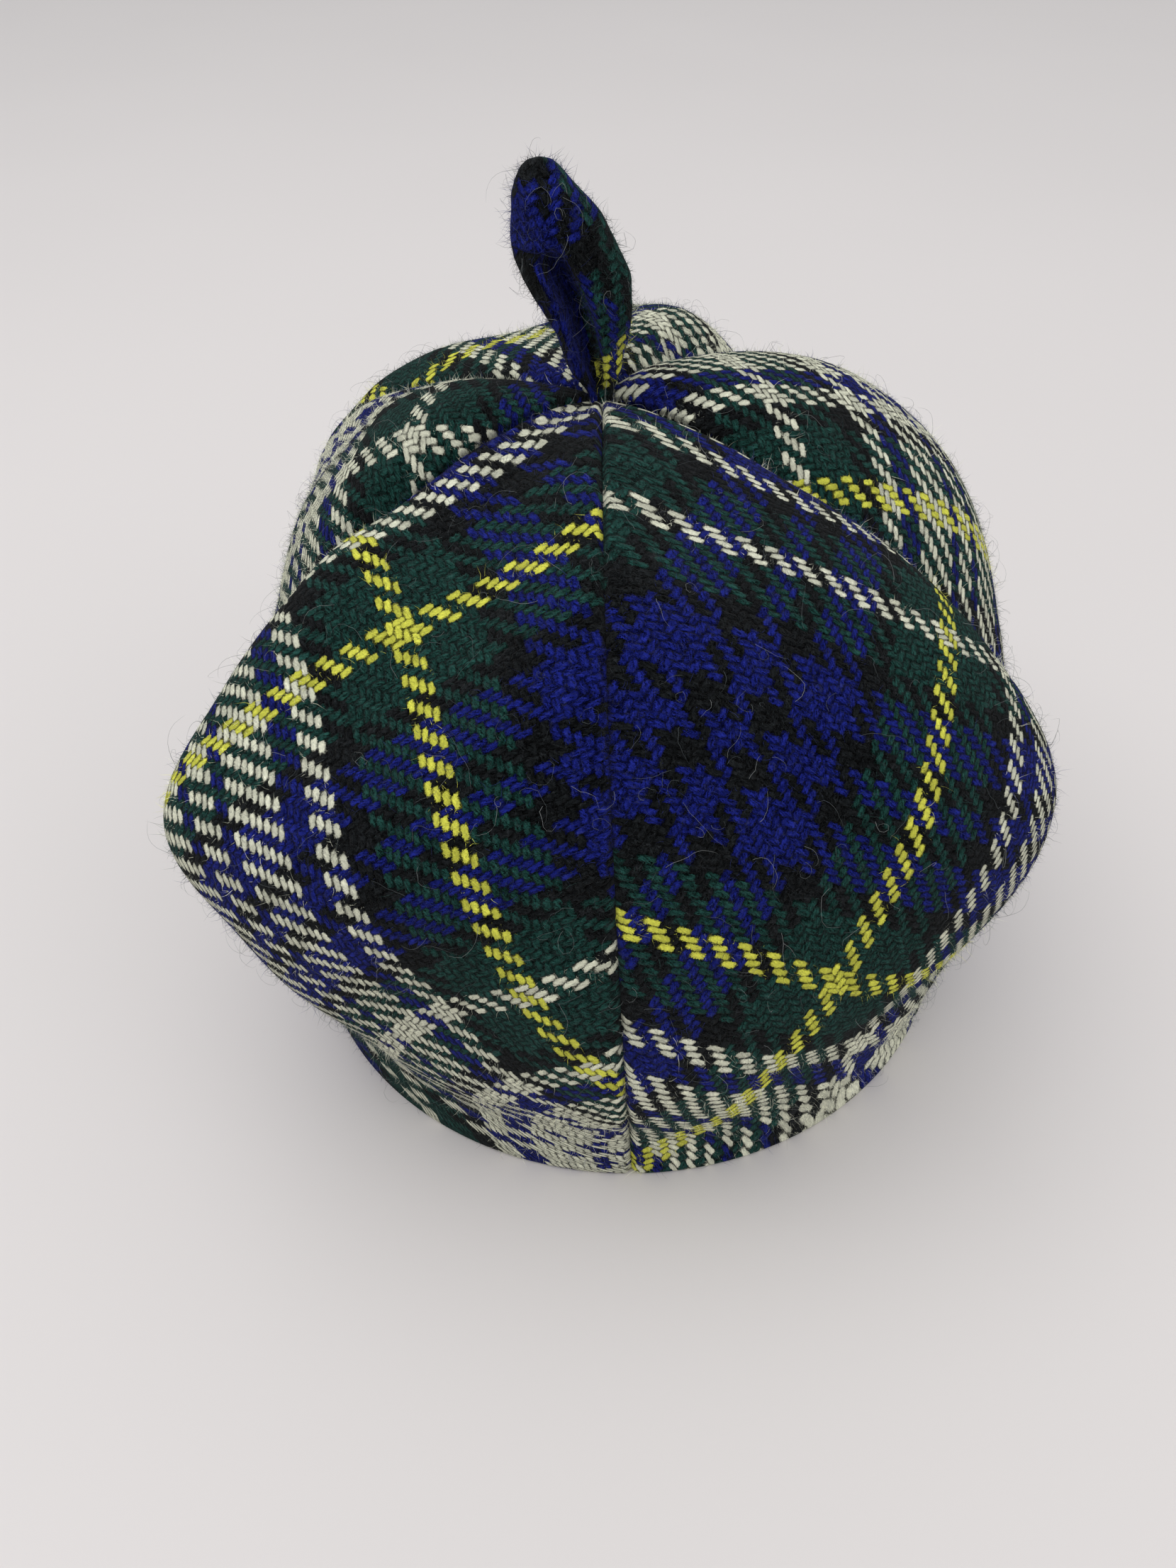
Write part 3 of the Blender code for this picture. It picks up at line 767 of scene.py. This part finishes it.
def scattered(grid, normal, thread, count, draw):
    """Places spread evenly over a grid of points: position, normal and thread numbers."""
    corner = grid[:-1, :-1]
    size = np.linalg.norm(np.cross(grid[1:, :-1] - corner, grid[:-1, 1:] - corner), axis=-1).ravel()
    row, column = np.divmod(draw.choice(len(size), count, p=size / size.sum()), grid.shape[1] - 1)
    u, v = draw.random((2, count, 1))

    def between(values):
        low = values[row, column] * (1 - v) + values[row, column + 1] * v
        high = values[row + 1, column] * (1 - v) + values[row + 1, column + 1] * v
        return low * (1 - u) + high * u

    return between(grid), unit(between(normal)), between(thread)


def strands(lines, radius, thread):
    """Three-sided strands that taper to a point along lines [strand][place][xyz]."""
    count, places = lines.shape[:2]
    lines[..., 2] = np.maximum(lines[..., 2], radius)
    ahead = unit(np.gradient(lines, axis=1) + 1e-7)
    side = unit(np.cross(ahead, np.array(STRAND_SIDE)))
    up = np.cross(ahead, side)
    taper = np.linspace(1, TIP_WIDTH, places)[None, :, None] * radius
    rings = np.stack([lines + taper * (side * math.cos(a) + up * math.sin(a))
                      for a in np.radians((0, 120, 240))], 2)
    points = np.concatenate([rings[:, :-1].reshape(count, -1, 3), lines[:, -1:]], 1)
    tip = 3 * (places - 1)
    faces = []
    for low in range(0, tip, 3):
        for a, b in ((low, low + 1), (low + 1, low + 2), (low + 2, low)):
            if low + 3 < tip:
                faces += [(a, b, b + 3), (a, b + 3, a + 3)]
            else:
                faces.append((a, b, tip))
    base = (np.arange(count) * (tip + 1))[:, None, None]
    return points.reshape(-1, 3), (base + np.array(faces)).reshape(-1, 3), np.repeat(thread, tip + 1, axis=0)


def fuzz_lines(place, normal, draw, shortest, longest, segments):
    """Short fibres that stand out of the cloth at all slants. Those of several segments are bent."""
    count = len(place)
    slant = draw.uniform(*FUZZ_SLANT, (count, 1))
    sideways = unit(np.cross(normal, draw.normal(size=(count, 3))))
    direction = normal * np.cos(slant) + sideways * np.sin(slant)
    length = shortest + (longest - shortest) * draw.random((count, 1)) ** 2.0
    bend = unit(np.cross(direction, draw.normal(size=(count, 3)))) * FUZZ_BEND * segments
    return np.stack([place - normal * FUZZ_DEPTH * MM + length * (direction * s + bend * s * s)
                     for s in np.linspace(0, 1, segments + 1)], 1)


def hair_lines(place, normal, draw, shortest, longest, segments):
    """Long curling hairs that lie over the cloth."""
    count = len(place)
    sideways = unit(np.cross(normal, draw.normal(size=(count, 3))))
    across = np.cross(normal, sideways)
    length = draw.uniform(shortest, longest, (count, 1))
    curl = draw.normal(0, LONG_CURL, (count, 1))
    lines, spot, heading = [], place - normal * LONG_DEPTH * MM, np.zeros((count, 1))
    for step in range(segments + 1):
        lines.append(spot)
        heading = heading + curl + draw.normal(0, LONG_STRAY, (count, 1))
        forward = sideways * np.cos(heading) + across * np.sin(heading)
        lift = normal * (LONG_LIFT * math.cos(math.pi * step / segments) + LONG_RISE)
        spot = spot + unit(forward + lift) * length / segments
    return np.stack(lines, 1)


def add_fibres(name, sheet, counts, node):
    """Fuzz and long hairs over a sheet, by the counts of each kind of fibre."""
    fuzz, hairs = Pile(), Pile()
    for kind, count in zip(FIBRE_KINDS, counts):
        shortest, longest, radius, segments = FIBRE_KINDS[kind]
        pile, shape = (hairs, hair_lines) if kind == "long" else (fuzz, fuzz_lines)
        place, out, numbers = scattered(*sheet, count, DRAW)
        lines = shape(place, out, DRAW, shortest * MM, longest * MM, segments)
        pile.add(*strands(lines, radius * MM, numbers))
    ride(fuzz.make("fuzz_" + name, FIBRES), node)
    ride(hairs.make("hairs_" + name, HAIRS), node)


# ---------------------------------------------------------------- stage
FLOOR_SIZE, FLOOR_PLACE = 12, (0, 2.0, 0)
FLOOR_COLOUR = (0.69, 0.655, 0.645)
FLOOR_TONES = (0.3, 0.7, 0.985, 1.0)     # noise from and to, tone from and to
SKY_COLOUR, SKY_STRENGTH = (0.97, 0.985, 1.0, 1), 0.78
LAMPS_AIM = (0, 0, 0.08)
LAMPS = {
    # name: (place, size, watts)
    "overhead": ((-0.35, -0.25, 1.5), 1.5, 11),
    "right":    ((1.2, -0.9, 1.0), 1.0, 3),
}


def make_stage():
    bpy.ops.mesh.primitive_plane_add(size=FLOOR_SIZE, location=FLOOR_PLACE)
    floor = bpy.context.object
    floor.name = "floor"
    g = Graph("floor")
    coordinates = g.tree.nodes.new("ShaderNodeTexCoord").outputs["Object"]
    tone = g.range(g.noise(coordinates, 3.0, 2.0), *FLOOR_TONES)
    floor.data.materials.append(g.finish(g.scaled(FLOOR_COLOUR, tone), roughness=0.7, specular=0.1))
    world = bpy.data.worlds.new("studio")
    world.use_nodes = True
    sky = world.node_tree.nodes["Background"]
    sky.inputs["Color"].default_value = SKY_COLOUR
    sky.inputs["Strength"].default_value = SKY_STRENGTH
    bpy.context.scene.world = world
    for name, (place, size, watts) in LAMPS.items():
        data = bpy.data.lights.new(name, "AREA")
        data.size = size
        data.energy = watts
        lamp = bpy.data.objects.new(name, data)
        lamp.location = place
        aim = Vector(LAMPS_AIM) - Vector(place)
        lamp.rotation_euler = aim.to_track_quat("-Z", "Y").to_euler()
        bpy.context.scene.collection.objects.link(lamp)
    bpy.context.scene.view_settings.view_transform = "Standard"


# ---------------------------------------------------------------- the hat
make_camera()
make_stage()
TARTAN = tartan_material("tartan")
FIBRES = fibre_material("loose_fibres")
HAIRS = hair_material("long_hairs")
DRAW = np.random.default_rng(5)
# How many straight, bent and long fibres lie on each gore and each half of the tail
GORE_FIBRES, TAIL_FIBRES = (16000, 4600, 260), (1400, 1500, 36)

GORE_CUTS = {
    # gore: (widest, longest, area with its seam allowances), metres and square metres, as cut flat
    "gore_front_right": (0.147, 0.246, 0.0240),
    "gore_side_right":  (0.145, 0.230, 0.0245),
    "gore_back_right":  (0.094, 0.227, 0.0163),
    "gore_back_left":   (0.133, 0.236, 0.0222),
    "gore_side_left":   (0.113, 0.218, 0.0187),
    "gore_front_left":  (0.155, 0.246, 0.0245),
}

hem_pile = Pile()
for lobe in LOBES:
    gore, *sheet = make_gore(lobe, TARTAN)
    ride(gore, lobe)
    width, length, area = GORE_CUTS[lobe]
    add_fibres(lobe.replace("gore_", ""), sheet, GORE_FIBRES, lobe)
    hem_pile.add(*hem_part(lobe))
hem = hem_pile.make("turned_hem", TARTAN)
ride(hem, "hem")
tail, tail_sheets = make_tail(TARTAN)
ride(tail, "tail")
for half, sheet in zip(TAIL_HALVES, tail_sheets):
    add_fibres("tail_" + half, sheet, TAIL_FIBRES, "tail")
